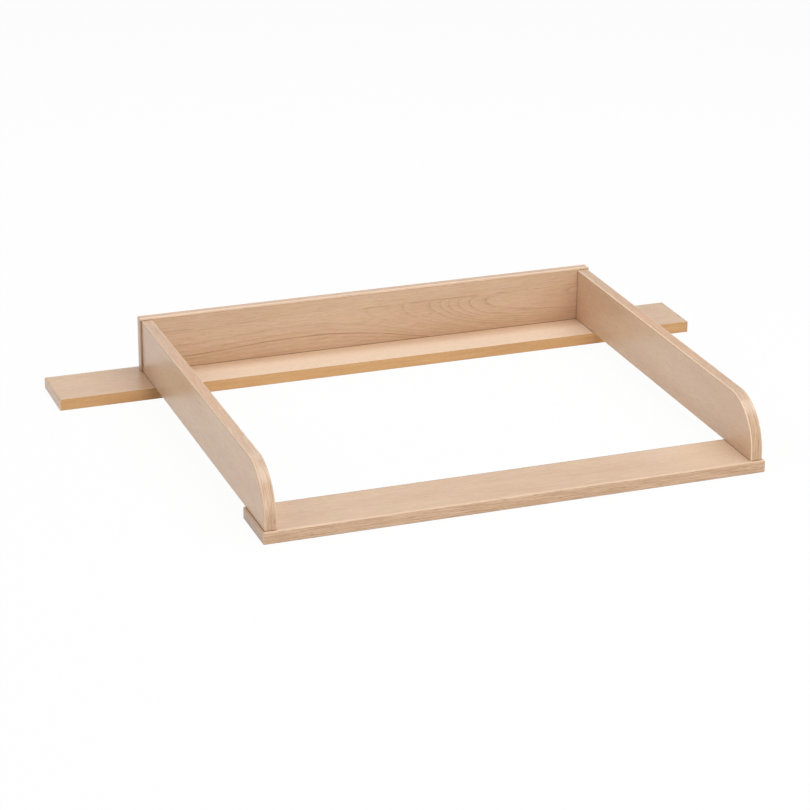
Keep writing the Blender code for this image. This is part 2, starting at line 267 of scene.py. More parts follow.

# %% [markdown]
# ## Painted shade in joints, and painted lines
#
# A joint shows as a dark line of painted shade, which stands in for the shade between two parts. An
# ambient occlusion node measures how much of the space near a point is open, so it finds the joints
# by itself. Other painted marks lie along one line: a painted highlight along an arris, and painted
# shade in a corner. They could be painted on the mesh. A soft line at a given place does the same,
# and its place is easy to change.

# %% Painted joint shade and soft lines
JOINT_REACH = 2.5 * MM         # how near another face has to be for the painted shade
JOINT_SHADE_LIMITS = (0.85, 0.3)      # share of open space where the painted shade begins, and where it is darkest
JOINT_SHADE_COVER = 0.7
# the tone of the painted shade in joints and corners
JOINT_SHADE_TONE = "664225"
# the tone of painted highlight lines along arrises
PAINTED_HIGHLIGHT_TONE = "FFE8CC"


def painted_joint_shade(tree, colour):
    """The colour with painted shade: darker where another face stands close by."""
    open_share = add_node(tree, "AmbientOcclusion", {"Distance": JOINT_REACH}, samples=8)
    shaded = add_node(tree, "MapRange", (open_share.outputs["AO"], *JOINT_SHADE_LIMITS, 0.0, JOINT_SHADE_COVER))
    return add_node(tree, "Mix", {0: shaded, 6: colour, 7: linear_colour(JOINT_SHADE_TONE)},
                    data_type='RGBA').outputs[2]


def soft_line(tree, colour, place, middle, reach, amount, tone=PAINTED_HIGHLIGHT_TONE, part="Y"):
    """The colour with a line of another tone: along the grain for part Y, across it for X."""
    spot = add_node(tree, "SeparateXYZ", (place,)).outputs[part]
    beside = add_node(tree, "Math", (spot, middle), operation='SUBTRACT')
    beside = add_node(tree, "Math", (beside,), operation='ABSOLUTE')
    share = add_node(tree, "MapRange", (beside, reach, 0.0, 0.0, amount),
                     interpolation_type='SMOOTHSTEP')
    return add_node(tree, "Mix", {0: share, 6: colour, 7: linear_colour(tone)},
                    data_type='RGBA').outputs[2]


print("painted joint shade reaches up to", round(JOINT_REACH / MM, 1), "mm from a joint")

# %% [markdown]
# ## Oak decor foil, and two cuts from the trunk
#
# The boards are fibreboard, and their faces carry a printed paper foil under a satin lacquer. The
# print shows bleached oak. A picture of the print could be wrapped round each board. Here it is
# worked out the way wood grows instead, so that it has no seam and stays sharp from close by.
#
# The back panel's print is a cut beside the heart of a trunk. The heart lies deep behind the
# panel's left end and comes to the face at its right end. Where a growth ring is just as wide as
# the heart is deep, the ring closes into the tip of a tongue. Above the heart the rings are
# pressed together, as they are on the shaded side of a tree, and turn straight.

# %% Describe the trunk behind the back panel
# Each curve is a list of (input, output) in mm, except the two that give a count and a share
HEART_PLACE = [(0, 40), (80, 39), (140, 35), (200, 31), (300, 30), (440, 32), (500, 34),
               (560, 38), (600, 39), (762, 38)]
HEART_DEPTH = [(0, 69.3), (250, 69.3), (300, 69), (360, 67), (400, 64), (440, 59), (487, 51.5),
               (522, 45.3), (561, 38.1), (591, 31.6), (640, 25.7), (700, 18), (745, 8), (762, 2)]
PRESSED_SIDE = [(-40, -70), (-14, -34), (-9, -17), (-5, -7), (0, 0), (70, 70)]
RING_COUNT = [(0, 0), (8, 1), (30.2, 1.6), (31.6, 2), (36.8, 2.6), (38.1, 3), (42.2, 4),
              (45.3, 5), (48, 6), (51.5, 7), (56.6, 8), (59.2, 9), (62.4, 10), (66, 11),
              (70.8, 12), (74, 13), (77.2, 14), (80.2, 15), (84.4, 16), (89, 17), (110, 20)]
RING_STRENGTH = [(0, 0.45), (8, 0.5), (14, 0.2), (28, 0.4), (31.6, 0.55), (38.1, 0.7),
                 (42.2, 0.5), (51.5, 0.55), (54, 0.2), (57, 0.12), (59.2, 0.55), (60.5, 0.12),
                 (68, 0.25), (70.8, 0.4), (72.5, 0.25), (74, 0.45), (75.4, 0.3), (76.5, 1.3),
                 (78, 1.3), (78.8, 0.4), (80.2, 0.5), (82, 0.3), (90, 0.25), (110, 0.25)]
TURNS_STRAIGHT = (-9.0, -13.0)         # mm from the heart, where the turn begins and ends
STRAIGHT_RINGS = (1.1, 55.0)           # mm of growth for each mm across, and at the top
STRAIGHT_STRENGTH = 0.35               # share of their strength that straight rings keep


def draw_curve(mapping, points):
    """Joins the points by straight stretches, and holds the end values outside them."""
    mapping.use_clip = False
    mapping.extend = 'HORIZONTAL'
    curve = mapping.curves[0]
    curve.points[0].location, curve.points[1].location = points[0], points[-1]
    for point in points[1:-1]:
        curve.points.new(*point)
    for point in curve.points:
        point.handle_type = 'VECTOR'
    mapping.update()


def rings_beside_heart(tree, along, across):
    """The ring count, the rings' strength, and the share of straight rings at a point."""
    heart = add_node(tree, "FloatCurve", {"Value": along})
    depth = add_node(tree, "FloatCurve", {"Value": along})
    away = add_node(tree, "Math", (across, heart), operation='SUBTRACT')
    reach = add_node(tree, "FloatCurve", {"Value": away})
    reach_squared = add_node(tree, "Math", (reach, reach), operation='MULTIPLY')
    squares = add_node(tree, "Math", (depth, depth, reach_squared), operation='MULTIPLY_ADD')
    distance = add_node(tree, "Math", (squares,), operation='SQRT')
    outside = add_node(tree, "MapRange", (away, *TURNS_STRAIGHT), interpolation_type='SMOOTHSTEP')
    straight = add_node(tree, "Math", (across, *STRAIGHT_RINGS), operation='MULTIPLY_ADD')
    grown = add_node(tree, "Mix", {0: outside, 2: distance, 3: straight}, data_type='FLOAT')
    count = add_node(tree, "FloatCurve", {"Value": grown})
    strength = add_node(tree, "FloatCurve", {"Value": grown})
    for curve, points in ((heart, HEART_PLACE), (depth, HEART_DEPTH), (reach, PRESSED_SIDE),
                          (count, RING_COUNT), (strength, RING_STRENGTH)):
        draw_curve(curve.mapping, points)
    return count, strength, outside


print("the back panel's face cuts", RING_COUNT[-1][1], "rings")

# %% [markdown]
# ## What else the two cuts need
#
# A ring doesn't show all along: gaps thin it out. The rings pressed together above the heart draw
# one broken dark line, and the panel is darker towards its foot. There the flecks are lively too,
# and above the heart they are calm.
#
# The other boards are cut further out, where the rings run past as almost straight streaks. For
# those it is enough to count rings across the board and to let most of them fade.

# %% Make the two cuts
RING_GAPS = (55, 6, 3.9)               # length and width in mm, and layer
PRESSED_LINE = 27.0                    # mm below the panel's top
PRESSED_EDGES = (1.6, 0.3)             # mm from the line's middle, where it begins and is darkest
PRESSED_PARTS = (40, 6, 14.2)
DARKER_FOOT_ALONG = (330, 470)             # mm along the panel, where the darkening towards the foot deepens
DARKER_FOOT_SHARES = (0.2, 0.34)
DARKER_FOOT_ACROSS = (50, 92)              # mm below the top, where it begins and is full
LIVELY_ACROSS = (40, 70)
LIVELY_SHARES = (0.45, 1.1)
PLAIN_RING_WIDTH = 6.5
PLAIN_PATCHES = (75, 11, 7.9)
PLAIN_LIVELY = 0.65


def cut_beside_heart(tree, place, along, across):
    """The figured cut: ring count, rings' strength, darkening, and how lively the flecks are."""
    count, strength, outside = rings_beside_heart(tree, along, across)
    calm = add_node(tree, "MapRange", (outside, 0.0, 1.0, 1.0, STRAIGHT_STRENGTH))
    strength = add_node(tree, "Math", (strength, calm), operation='MULTIPLY')
    gaps = marks(tree, place, RING_GAPS, 0.3, 0.65, 1.15, 0.45)
    strength = add_node(tree, "Math", (strength, gaps), operation='MULTIPLY')
    beside = add_node(tree, "Math", (across, PRESSED_LINE), operation='SUBTRACT')
    beside = add_node(tree, "Math", (beside,), operation='ABSOLUTE')
    parts = marks(tree, place, PRESSED_PARTS, 0.42, 0.6, 0.5)
    pressed = add_node(tree, "MapRange", (beside, *PRESSED_EDGES, 0.0, parts))
    deeper = add_node(tree, "MapRange", (along, *DARKER_FOOT_ALONG, *DARKER_FOOT_SHARES))
    below = add_node(tree, "MapRange", (across, *DARKER_FOOT_ACROSS, 0.0, deeper))
    darkening = add_node(tree, "Math", (pressed, below), operation='ADD')
    lively = add_node(tree, "MapRange", (across, *LIVELY_ACROSS, *LIVELY_SHARES))
    return count, strength, darkening, lively


def cut_further_out(tree, place, along, across):
    """The plain cut, with the same four results. Only short pieces of its rings show."""
    count = add_node(tree, "Math", (across, PLAIN_RING_WIDTH), operation='DIVIDE')
    strength = marks(tree, place, PLAIN_PATCHES, 0.52, 0.72, 0.5)
    return count, strength, 0.0, PLAIN_LIVELY


print("plain boards have a ring every", PLAIN_RING_WIDTH, "mm")

# %% [markdown]
# ## The parts of the print
#
# Late wood makes a ring's end dark. On this print it is a sharp line, and a paler shade of it fades
# out through the next year's wood. Over the rings lie fine fibres, darker flecks and bright gleams,
# the pores, a slow drift from lighter to darker, and patches of a pinker and a yellower oak. The
# pores of oak are about 0.2 mm wide. That is too fine to show from here, so they are drawn 0.45 mm
# wide. Where light falls more on one stretch of a board, that stretch gets painted light: it is
# mixed with the bleached tone.

# %% Draw rings and painted light stretches
FIBRES = (34, 1.3, 3.3, 4.0)           # length and width in mm, layer and detail
FLECKS = (24, 1.1, 9.1)
PORES = (7, 0.45, 5.5, 0.0)
TONE_DRIFT = (260, 50, 2.1)
HUE_PATCHES = (45, 22, 17.3)
PORE_COVER = 0.30
DRIFT_RANGE = 0.45
LINE_STARTS, LINE_STOPS = 0.88, 0.14   # the sharp line, as parts of the year before and after
SHADE_STOPS, SHADE_COVER = 0.55, 0.42


def ring_lines(tree, count, strength, darkening):
    """How much late wood shows at a point."""
    year = add_node(tree, "Math", (count,), operation='FRACT')
    start = add_node(tree, "MapRange", (year, LINE_STARTS, 1.0))
    stop = add_node(tree, "MapRange", (year, LINE_STOPS, 0.0))
    fading = add_node(tree, "MapRange", (year, SHADE_STOPS, 0.0, 0.0, SHADE_COVER))
    line = add_node(tree, "Math", (start, stop), operation='MAXIMUM')
    line = add_node(tree, "Math", (line, fading), operation='MAXIMUM')
    return add_node(tree, "Math", (line, strength, darkening), operation='MULTIPLY_ADD')


def painted_light_stretch(tree, along, across, shift, middle, start, full, amount, foot, clear):
    """How much painted light a point gets. The stretch fades in from start to full, both counted in
    mm from its middle along the board, and from foot to clear across it."""
    far = add_node(tree, "Math", (along, shift[0] + middle), operation='SUBTRACT')
    far = add_node(tree, "Math", (far,), operation='ABSOLUTE')
    share = add_node(tree, "MapRange", (far, start, full, 0.0, amount),
                     interpolation_type='SMOOTHSTEP')
    return add_node(tree, "MapRange", (across, shift[1] + foot, shift[1] + clear, 0.0, share),
                    interpolation_type='SMOOTHSTEP')


print("pores are drawn", PORES[1], "mm wide")

# %% [markdown]
# ## The foil's finish
#
# The lacquer is a satin melamine resin. It gives a soft mirror image at a low angle, which turns
# the side panels greyish where they mirror the white room, and warm where they mirror a board.
# The foil is embossed along its fibres and pores, so the mirror image is streaky.
#
# All boards share one print, and each is cut from another part of it. They differ a little in tone
# and in how strongly the fibres show, as boards from several sheets do. The front board, the rail
# and the right side panel each have a stretch of painted light, and the right side panel's darker
# rear is painted shade.

# %% Make the foils
PINKER_OAK = "E0C0A4"
YELLOWER_OAK = "DDC19D"
DARKER_FIBRES = "D0AC8C"
LATE_WOOD = "A9805C"
BLEACHED_OAK = "FBE5CE"
LACQUER_IOR = 1.5
LACQUER_ROUGHNESS = (0.27, 0.35)
EMBOSSING_DEPTH = 0.02 * MM


def oak_foil(name, cut, shift, slow_bend=3.0, quick_bend=0.5, contrast=0.85, shade=0.0,
             painted_light=None, line=None):
    """The print on one board. contrast is how strongly its fibres show, and shade darkens it."""
    finish, tree = new_finish(name)
    place = grain_place(tree, shift)
    along, across = bent_grain(tree, place, slow_bend, quick_bend)
    count, strength, darkening, lively = cut(tree, place, along, across)
    fibres = streaks(tree, place, *FIBRES)
    flecks = streaks(tree, place, *FLECKS)
    fine_fibres = add_node(tree, "MapRange", (fibres, 0.3, 0.7))
    dashes = add_node(tree, "MapRange", (flecks, 0.58, 0.74, 0.0, 0.6))
    dashes = add_node(tree, "Math", (dashes, lively), operation='MULTIPLY')
    gleams = add_node(tree, "MapRange", (flecks, 0.42, 0.27, 0.0, 0.4))
    gleams = add_node(tree, "Math", (gleams, lively), operation='MULTIPLY')
    late_wood = ring_lines(tree, count, strength, darkening)
    late_wood = add_node(tree, "Math", (late_wood, dashes), operation='MAXIMUM')
    drift = marks(tree, place, TONE_DRIFT, 0.35, 0.65, shade + DRIFT_RANGE, shade)
    darker = add_node(tree, "Math", (fine_fibres, contrast, drift), operation='MULTIPLY_ADD')
    pores = marks(tree, place, PORES, 0.66, 0.74)
    pore_share = add_node(tree, "Math", (pores, PORE_COVER), operation='MULTIPLY')
    painted_light_share = painted_light_stretch(tree, along, across, shift, **painted_light) if painted_light else 0.0

    colour = linear_colour(PINKER_OAK)
    for share, tone in ((marks(tree, place, HUE_PATCHES, 0.38, 0.62), YELLOWER_OAK),
                        (darker, DARKER_FIBRES), (gleams, BLEACHED_OAK), (late_wood, LATE_WOOD),
                        (painted_light_share, BLEACHED_OAK), (pore_share, LATE_WOOD)):
        colour = add_node(tree, "Mix", {0: share, 6: colour, 7: linear_colour(tone)},
                          data_type='RGBA').outputs[2]
    if line:
        colour = soft_line(tree, colour, place, **line)
    height = add_node(tree, "Math", (pores, -1.0, fine_fibres), operation='MULTIPLY_ADD')
    fill_inputs(tree, tree.nodes["Principled BSDF"], {
        "Base Color": painted_joint_shade(tree, colour),
        "Roughness": add_node(tree, "MapRange", (fibres, 0.3, 0.7, *LACQUER_ROUGHNESS)),
        "Normal": add_node(tree, "Bump", {"Height": height, "Distance": EMBOSSING_DEPTH}),
        "IOR": LACQUER_IOR})
    return finish


FOILS = {
    "front_board": oak_foil(
        "oak_foil_front_board", cut_further_out, (1300, 160),
        # painted light towards the right end, as thrown back from the right side panel
        painted_light=dict(middle=700, start=540, full=340, amount=0.36, foot=-1, clear=0),
        # a painted highlight line along the front arris
        line=dict(middle=160 + 350.5, reach=4.0, amount=0.6)),
    "rear_rail": oak_foil(
        "oak_foil_rear_rail", cut_further_out, (5200, 40),
        # painted light on the rail between the side panels, fading into painted shade at the back
        # panel's foot
        painted_light=dict(middle=0, start=398, full=384, amount=0.84, foot=-322, clear=-282)),
    "back_panel": oak_foil(
        "oak_foil_back_panel", cut_beside_heart, (381, 111.3), slow_bend=1.6, quick_bend=1.0),
    "side_panel_left": oak_foil(
        "oak_foil_side_panel_left", cut_further_out, (9100, 500), contrast=0.5, shade=0.17),
    "side_panel_right": oak_foil(
        # darker overall, and lighter towards the front: painted shade at the rear, painted light at
        # the front
        "oak_foil_side_panel_right", cut_further_out, (7300, 900), contrast=0.8, shade=0.3,
        painted_light=dict(middle=-340, start=620, full=240, amount=0.25, foot=-20, clear=-70)),
}
print(len(FOILS), "foils")

# %% [markdown]
# ## Bare fibreboard
#
# The rail's long edges, and the edges that nobody sees, have no band. They show the fibreboard
# itself: fine brown fibres pressed with resin, honey coloured, matt and a little speckled. Its
# fibres are about 0.1 mm thick, so the speckles stand for clumps of them. The rail's front edge has
# painted shade beside the side panels: dark in the corner beside the left one, and faint over a
# broad stretch towards the right one.

# %% Make the bare fibreboard
HIDDEN_SHIFT = -1.7            # m along the print, between a board's shown face and its others
FIBRE_CLUMPS = (1.6, 0.9, 1.7, 4.0)
PRESSED_LAYERS = (60, 4.5, 8.2)
PAINTED_EDGE_SHADE = ((-398, 34, 0.5), (220, 150, 0.1))   # place and reach along the rail in mm, and amount

fibreboard, tree = new_finish("bare_fibreboard")
place = grain_place(tree)
clumps = streaks(tree, place, *FIBRE_CLUMPS)
both = add_node(tree, "Mix", {0: 0.45, 2: clumps, 3: streaks(tree, place, *PRESSED_LAYERS)},
                data_type='FLOAT')
share = add_node(tree, "MapRange", (both, 0.35, 0.65))
colour = add_node(tree, "Mix", {0: share, 6: linear_colour("D8AC78"), 7: linear_colour("C89864")},
                  data_type='RGBA').outputs[2]
# painted shade on the rail's front edge beside the side panels
for middle, reach, amount in PAINTED_EDGE_SHADE:
    colour = soft_line(tree, colour, place, middle + HIDDEN_SHIFT / MM, reach, amount,
                       JOINT_SHADE_TONE, "X")
fill_inputs(tree, tree.nodes["Principled BSDF"], {
    "Base Color": painted_joint_shade(tree, colour),
    "Normal": add_node(tree, "Bump", {"Height": clumps, "Distance": 0.06 * MM}),
    "Roughness": 0.7, "IOR": 1.48})
print("made", fibreboard.name)

# %% [markdown]
# ## Edge band: the print
#
# The bands are strips of ABS, 2 mm thick, glued round the boards' edges. Their outer face is
# printed with straight oak grain in fine dark lines. Bands come on rolls, and rolls differ a little
# in tone; a lighter and a darker roll below carry painted highlight and painted shade. A band that
# is bent round a corner gets a painted highlight, a whitish glare at the bend.
#
# The bent bands take their print from 20 m on, far from all others, so that the places of the
# bend's painted glare and of the painted warmer top stretch, which only they have, can be told by
# how far along they lie.

# %% Make the rolls of printed band
ABS_IOR = 1.54
BAND_ROUGHNESS = 0.28
GRAIN_LINE_GAP = 2.4           # mm between two dark lines
LINE_PIECES = (90, 3.0, 6.1)   # length and width in mm, layer and detail
BAND_DASHES = (14, 0.9, 7.7)
BAND_FIBRES = (40, 0.8, 3.3, 4.0)
BAND_LINE = "9F7653"
LINE_COVER = 0.8
PAINTED_BEND_GLARE = "F2E2D2"
BENT_START = 20.0              # m along the print, where a bent band has its rear end
BEND_PLACE = BENT_START / MM + 630
BEND_REACH = (62, 15)          # mm from there, where the painted glare begins and is full
PAINTED_GLARE_SHARE = 0.16


def printed_band(name, light, dark, line=None):
    """The print on one roll of band, between a lighter and a darker tone."""
    finish, tree = new_finish(name)
    place = grain_place(tree)
    along, across = bent_grain(tree, place, 1.6, 0.35)
    count = add_node(tree, "Math", (across, GRAIN_LINE_GAP), operation='DIVIDE')
    year = add_node(tree, "Math", (count,), operation='FRACT')
    grain = add_node(tree, "MapRange", (year, 0.45, 0.95), interpolation_type='SMOOTHSTEP')
    grain = add_node(tree, "Math", (grain, marks(tree, place, LINE_PIECES, 0.4, 0.62)),
                     operation='MULTIPLY')
    grain = add_node(tree, "Math", (grain, marks(tree, place, BAND_DASHES, 0.57, 0.7)),
                     operation='MAXIMUM')
    grain = add_node(tree, "Math", (grain, LINE_COVER), operation='MULTIPLY')
    fibres = marks(tree, place, BAND_FIBRES, 0.3, 0.7)
    from_bend = add_node(tree, "Math", (along, BEND_PLACE), operation='SUBTRACT')
    from_bend = add_node(tree, "Math", (from_bend,), operation='ABSOLUTE')
    # stretched is the share of painted highlight, a whitish glare across the bend
    stretched = add_node(tree, "MapRange", (from_bend, *BEND_REACH, 0.0, PAINTED_GLARE_SHARE),
                         interpolation_type='SMOOTHSTEP')

    colour = linear_colour(light)
    for share, tone in ((fibres, dark), (grain, BAND_LINE), (stretched, PAINTED_BEND_GLARE)):
        colour = add_node(tree, "Mix", {0: share, 6: colour, 7: linear_colour(tone)},
                          data_type='RGBA').outputs[2]
    if line:
        colour = soft_line(tree, colour, place, **line)
    fill_inputs(tree, tree.nodes["Principled BSDF"], {
        "Base Color": painted_joint_shade(tree, colour),
        "Normal": add_node(tree, "Bump", {"Height": fibres, "Distance": 0.03 * MM}),
        "Roughness": BAND_ROUGHNESS, "IOR": ABS_IOR})
    return finish


plain_roll = printed_band("printed_abs_band", "E3C2A3", "BB9471")
# The side bands are painted warmer over their upper stretch, to take away some of the white sheen
# that their top faces show
painted_dull_top_roll = printed_band("printed_abs_band_painted_dull_top", "E3C2A3", "BB9471",
                           dict(middle=BENT_START / MM + 280, reach=330, amount=0.3,
                                tone="DA9A66", part="X"))
BAND_ROLLS = {
    # This roll is lighter, partly as painted highlight, and its front arris carries a painted
    # highlight line
    "back_panel_band_top": printed_band("printed_abs_band_painted_highlight_roll", "EEC9A9", "CB9E78",
                                        dict(middle=-329.3, reach=3.6, amount=0.75)),
    # a darker roll: painted shade on the front board's left end
    "front_board_band_left": printed_band("printed_abs_band_painted_shade_roll", "CFAA8A", "A57E5C"),
    # Painted shade darkens the front arris of this one, beside the side panel
    "back_panel_band_left": printed_band("printed_abs_band_painted_shade_end", "E3C2A3", "BB9471",
                                         dict(middle=-325, reach=10, amount=0.5,
                                              tone=JOINT_SHADE_TONE)),
    "side_panel_band_left": painted_dull_top_roll,
    "side_panel_band_right": painted_dull_top_roll,
}
print("made", 1 + len(set(BAND_ROLLS.values())), "prints")

# %% [markdown]
# ## Edge band: the cut plastic
#
# After gluing, a cutter rounds the arrises and takes the print away there, so the plain plastic
# shows as a light line along each edge. It is smoother than the print, with fine scrape marks along
# the cut, and its tone goes with the roll. A lighter copy is a painted highlight on the front
# board's front arris and the right side band, and a darker copy is painted shade at the back
# panel's left end.

# %% Make the cut plastic
CUT_ROUGHNESS = 0.24
SCRAPE_MARKS = (12, 0.6, 9.4, 3.0)     # length and width in mm, layer and detail


def cut_band(name, light, dark):
    """The bare plastic of one roll, where the cutter took the print away."""
    finish, tree = new_finish(name)
    scraped = marks(tree, grain_place(tree), SCRAPE_MARKS, 0.3, 0.7)
    colour = add_node(tree, "Mix", {0: scraped, 6: linear_colour(light),
                                    7: linear_colour(dark)}, data_type='RGBA').outputs[2]
    fill_inputs(tree, tree.nodes["Principled BSDF"], {
        "Base Color": painted_joint_shade(tree, colour),
        "Normal": add_node(tree, "Bump", {"Height": scraped, "Distance": 0.02 * MM}),
        "Roughness": CUT_ROUGHNESS, "IOR": ABS_IOR})
    return finish


plain_cut = cut_band("cut_abs_band", "E6C6A8", "D6B596")
# lighter plastic: a painted highlight on the arrises that take it
painted_highlight_cut = cut_band("cut_abs_band_painted_highlight", "F3D6B8", "E4C4A4")
# darker plastic: painted shade in the joint beside the side panel
painted_shade_cut = cut_band("cut_abs_band_painted_shade_end", "C09C7E", "AA8668")
CUTS = {"front_board_band_front": painted_highlight_cut, "side_panel_band_right": painted_highlight_cut,
        "back_panel_band_left": painted_shade_cut}
print("made", plain_cut.name, "and", len(set(CUTS.values())), "more")

# %% [markdown]
# ## Zinc and beech
#
# The connecting screws are steel with bright zinc plating: a cool grey metal, smooth but faintly
# cloudy from the plating bath. The dowels are turned beech, left bare: pale, warm and dull, with
# the short dark flecks of beech's rays.

# %% Make the metal and the beech
PLATING_CLOUDS = (4.0, 4.0, 1.1, 3.0)
ZINC_ROUGHNESS = (0.22, 0.4)
BEECH_FIBRES = (14, 0.7, 2.6, 3.0)
BEECH_RAYS = (1.8, 0.25, 6.6, 0.0)

zinc, tree = new_finish("bright_zinc_plating")
clouds = streaks(tree, grain_place(tree), *PLATING_CLOUDS)
colour = add_node(tree, "Mix", {0: clouds, 6: linear_colour("C9CDD2"),
                                7: linear_colour("B9BAB8")}, data_type='RGBA').outputs[2]
fill_inputs(tree, tree.nodes["Principled BSDF"], {
    "Base Color": colour, "Metallic": 1.0,
    "Roughness": add_node(tree, "MapRange", (clouds, 0.3, 0.7, *ZINC_ROUGHNESS))})

beech, tree = new_finish("bare_turned_beech")
place = grain_place(tree)
fibres = streaks(tree, place, *BEECH_FIBRES)
colour = linear_colour("E0C29A")
for share, tone in ((fibres, "CBA679"), (marks(tree, place, BEECH_RAYS, 0.6, 0.7, 0.6), "A57B50")):
    colour = add_node(tree, "Mix", {0: share, 6: colour, 7: linear_colour(tone)},
                      data_type='RGBA').outputs[2]
fill_inputs(tree, tree.nodes["Principled BSDF"], {
    "Base Color": colour, "Roughness": 0.6, "IOR": 1.5,
    "Normal": add_node(tree, "Bump", {"Height": fibres, "Distance": 0.05 * MM})})
print("made", zinc.name, "and", beech.name)

# %% [markdown]
# ## From a mesh to a piece
#
# Each new piece stands for one of the ready-made solids, lies exactly where the solid lies, and
# moves with it. Rounded arrises are shaded smoothly, but the wide flat faces beside them have to
# stay flat to the eye. A weighted-normals modifier does that: the larger a face, the more it
# decides how its corners are shaded.

# %% Turn a mesh into a piece
SHARP_ANGLE = math.radians(35)


def add_piece(node, data, place=Matrix.Identity(4)):
    """Adds the mesh as the piece that stands for a solid."""
    piece = bpy.data.objects.new(node + "_dressed", data)
    piece.matrix_world = place
    bpy.context.scene.collection.objects.link(piece)
    evened = piece.modifiers.new("even_shading", 'WEIGHTED_NORMAL')
    evened.keep_sharp = True
    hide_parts(node)
    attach(piece, "root")
    return piece


def smooth_mesh(name, mesh, finishes):
    """Turns the mesh into data with its finishes, smooth except at sharp edges."""
    data = bpy.data.meshes.new(name)
    mesh.to_mesh(data)
    mesh.free()
    for finish in finishes:
        data.materials.append(finish)
    data.shade_smooth()
    data.set_sharp_from_angle(angle=SHARP_ANGLE)
    return data


print("edges over", round(math.degrees(SHARP_ANGLE)), "degrees stay sharp")

# %% [markdown]
# ## The grain map
#
# The UV map says where on the foil or band a point lies, in metres: U runs along the grain and V
# across it. On a flat board both can be read from the point's own coordinates. The face's normal
# says which of the three axes to leave out. The hidden faces take theirs from another stretch,
# so that the two sides of a board differ.

# %% Lay the grain on a mesh
def lay_grain(mesh, grain_axis, shown=None):
    """Lays U along grain_axis. shown is the axis and sign of the side that people see."""
    layer = mesh.loops.layers.uv.new("grain")
    for face in mesh.faces:
        facing = max((0, 1, 2), key=lambda axis: abs(face.normal[axis]))
        rest = [axis for axis in (0, 1, 2) if axis != facing]
        along = grain_axis if grain_axis in rest else rest[0]
        across = rest[0] if rest[1] == along else rest[1]
        hidden = shown and (facing != shown[0] or face.normal[facing] * shown[1] < 0)
        for loop in face.loops:
            point = loop.vert.co
            loop[layer].uv = (point[along] + HIDDEN_SHIFT * bool(hidden), -point[across])


print("hidden faces lie", -HIDDEN_SHIFT, "m away on the print")

# %% [markdown]
# ## Screws and dowels first
#
# The fasteners come first, because their places say where the boards have holes. Both kinds are
# turned round an axis: rows of points at given heights and radii, joined into a skin. A radius
# may also be a rule for each angle. That is how the hexagonal socket, the thread and the flutes
# of a dowel are made with the same few lines.

# %% Turn a shape round its axis
def add_turned(mesh, rows, steps, place=Matrix.Identity(4)):
    """Adds a closed skin through rows of (height, radius), with the grain map along the axis."""
    layer = mesh.loops.layers.uv.get("grain") or mesh.loops.layers.uv.new("grain")
    rings = []
    for height, radius in rows:
        ring = []
        for step in range(steps):
            angle = 2 * math.pi * step / steps
            reach = radius(angle) if callable(radius) else radius
            point = Vector((reach * math.cos(angle), reach * math.sin(angle), height))
            ring.append(mesh.verts.new(place @ point))
        rings.append(ring)
    travelled = 0.0
    for number in range(1, len(rings)):
        lower, upper = rings[number - 1], rings[number]
        before = travelled
        travelled += (upper[0].co - lower[0].co).length
        for step in range(steps):
            face = mesh.faces.new((lower[step - 1], lower[step], upper[step], upper[step - 1]))
            start = (step - 1) % steps
            corners = ((before, start), (before, start + 1), (travelled, start + 1),
                       (travelled, start))
            for loop, (along, turn) in zip(face.loops, corners):
                loop[layer].uv = (along, turn * DOWEL_RADIUS * 2 * math.pi / steps)
    for ring in (rings[0][::-1], rings[-1]):
        for loop in mesh.faces.new(ring).loops:
            loop[layer].uv = loop.vert.co.xy


# %% [markdown]
# ## The connecting screw
#
# A furniture connecting screw is 7 mm thick and 50 mm long, with a countersunk head, a 4 mm
# hexagonal socket, and a coarse thread with a flat root that cuts its own way into fibreboard.
# The thread is one ridge that climbs 3 mm with each turn: its radius at a point depends on the
# height and on the angle together.

# %% Make the screw and the dowel
SCREW_STEPS = 30               # a multiple of six, so that the socket's corners are met
SCREW_LENGTH = 50 * MM
HEAD_RADIUS = 5 * MM
HEAD_HEIGHT = 3 * MM
SHANK_RADIUS = 3.5 * MM
CORE_RADIUS = 2.35 * MM
COLLAR_END = 15 * MM
POINT_START = 46 * MM
PITCH = 3 * MM
RIDGE_HALF = 0.24              # half the ridge's width, as a part of the pitch
RIDGE_FULLNESS = 0.8           # 1 gives straight flanks, and less makes them bulge
ROWS_PER_TURN = 9
SOCKET_WIDTH = 4 * MM          # over the flats
DOWEL_STEPS = 60
DOWEL_RADIUS = 4 * MM
DOWEL_END_RADIUS = 3.0 * MM
DOWEL_LENGTH = 30 * MM
CHAMFER = 1.0 * MM
FLUTES = 20
FLUTE_DEPTH = 0.25 * MM


def hexagon(width):
    """The radius at each angle of a hexagon that is so wide over its flats."""
    return lambda angle: width / 2 / math.cos(angle % (math.pi / 3) - math.pi / 6)


def thread(height):
    """The radius at each angle on the thread, at a height above the top of the head."""
    room = min(1.0, (height - COLLAR_END) / PITCH, (SCREW_LENGTH - height) / PITCH)

    def radius(angle):
        phase = (height / PITCH - angle / (2 * math.pi)) % 1.0
        ridge = max(0.0, 1.0 - abs(phase - 0.5) / RIDGE_HALF) ** RIDGE_FULLNESS
        return CORE_RADIUS + (SHANK_RADIUS - CORE_RADIUS) * ridge * room
    return radius


